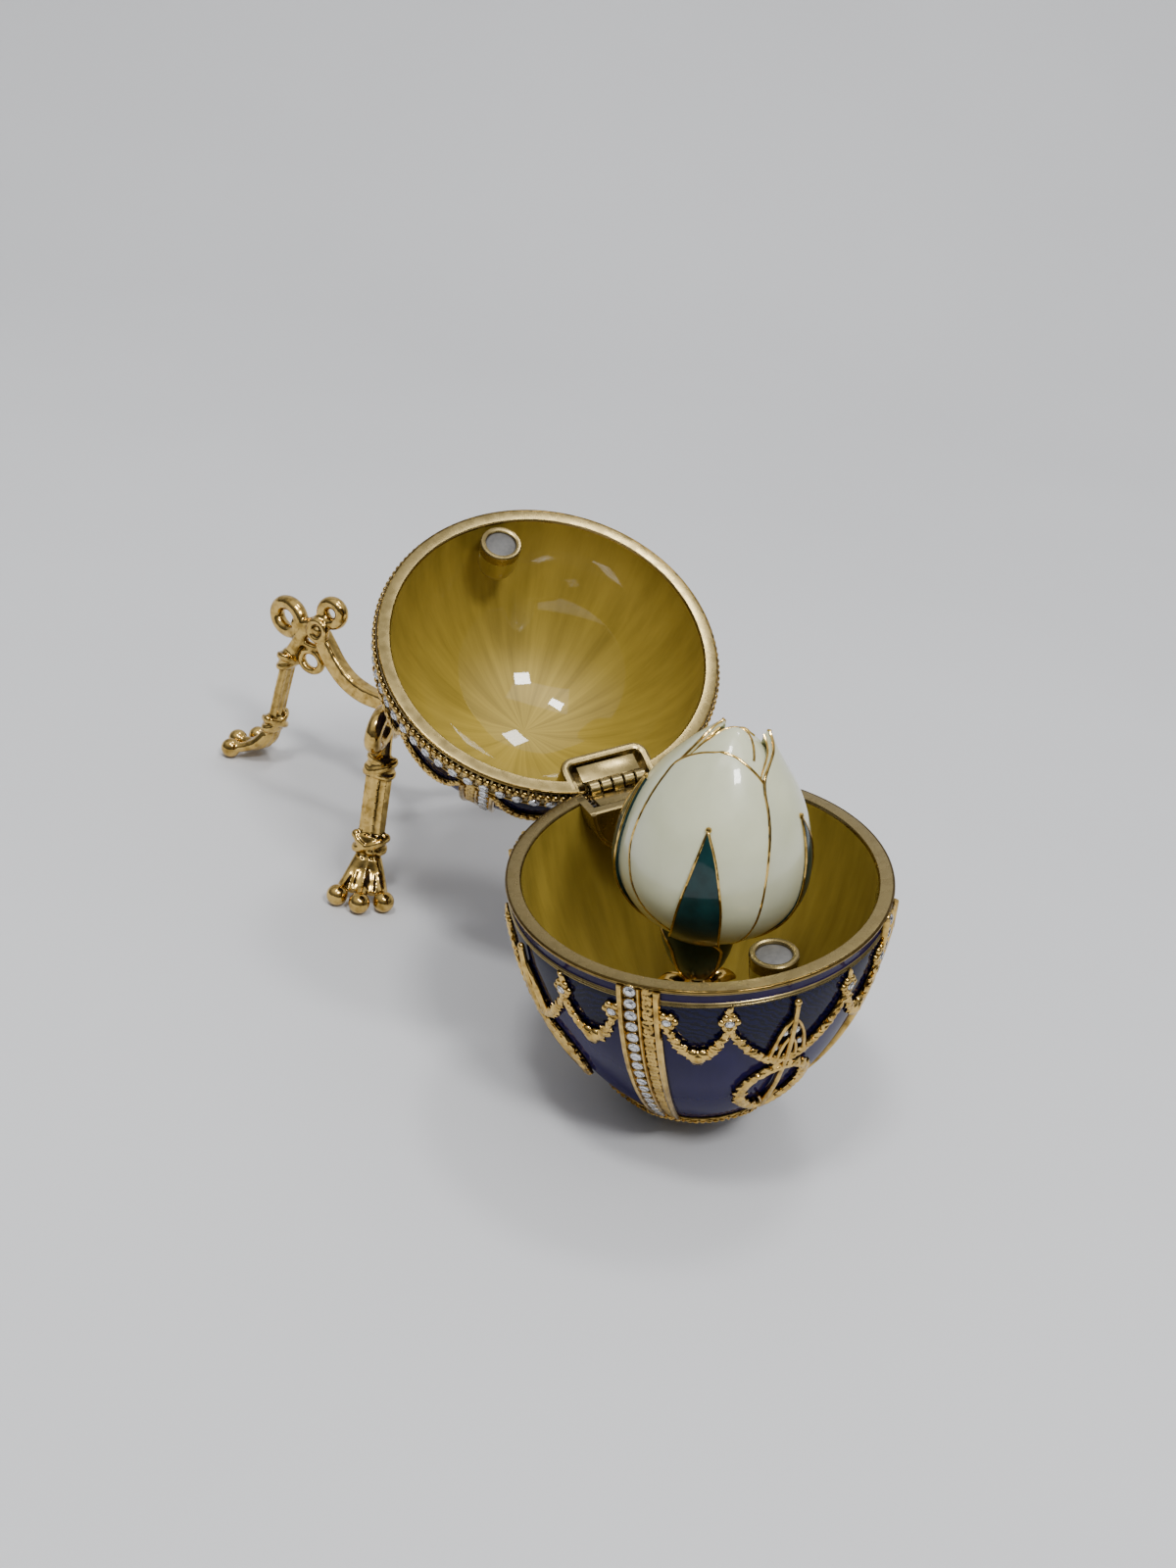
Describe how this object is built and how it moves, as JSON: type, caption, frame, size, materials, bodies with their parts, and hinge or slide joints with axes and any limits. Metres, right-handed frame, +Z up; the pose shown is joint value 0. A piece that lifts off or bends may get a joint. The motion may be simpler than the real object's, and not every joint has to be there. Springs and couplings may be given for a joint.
{
  "type": "trinket box",
  "caption": "Jewelled enamel egg that opens on a small hinge, with a rosebud standing inside it and a gold tripod stand of scrolled legs behind it",
  "frame": {"origin": "on the table, at the flattened spot under the base half that the open egg stands on", "axes": "+Z up; +Y from the origin toward the hinge, the opened lid and the stand; X along the hinge"},
  "size_m": [0.0665, 0.1668, 0.0732],
  "materials": {
    "blue_enamel": "translucent dark violet-blue enamel over engine-turned metal, with gold relief",
    "yellow_enamel": "translucent yellow enamel over brushed metal, inside both halves",
    "cream_enamel": "glossy cream enamel on the petals, edged in gold",
    "green_enamel": "glossy dark green enamel on the cup and its leaves",
    "gold": "bright gold plating, darker in the hollows",
    "magnet": "dull grey nickel, lightly worn",
    "crystal": "clear cut stones in gold settings"
  },
  "bodies": {
    "base_and_stand": {"base_shell": "blue_enamel", "base_magnet": "magnet", "base_hinge_leaf": "gold", "hinge_pin": "gold", "rosebud": "cream_enamel", "rosebud_stem": "gold", "stand_hub": "gold", "stand_leg_1": "gold", "stand_leg_2": "gold", "stand_leg_3": "gold"},
    "lid": {"lid_shell": "blue_enamel", "lid_magnet": "magnet", "lid_hinge_leaf": "gold"}
  },
  "joints": [
    {"name": "lid_hinge", "type": "hinge", "parent": "base_and_stand", "child": "lid", "pos_m": [-0.00673, 0.0294, 0.04445], "axis": [0.9813, 0, 0.1925], "range_deg": [0, 151.4]}
  ]
}
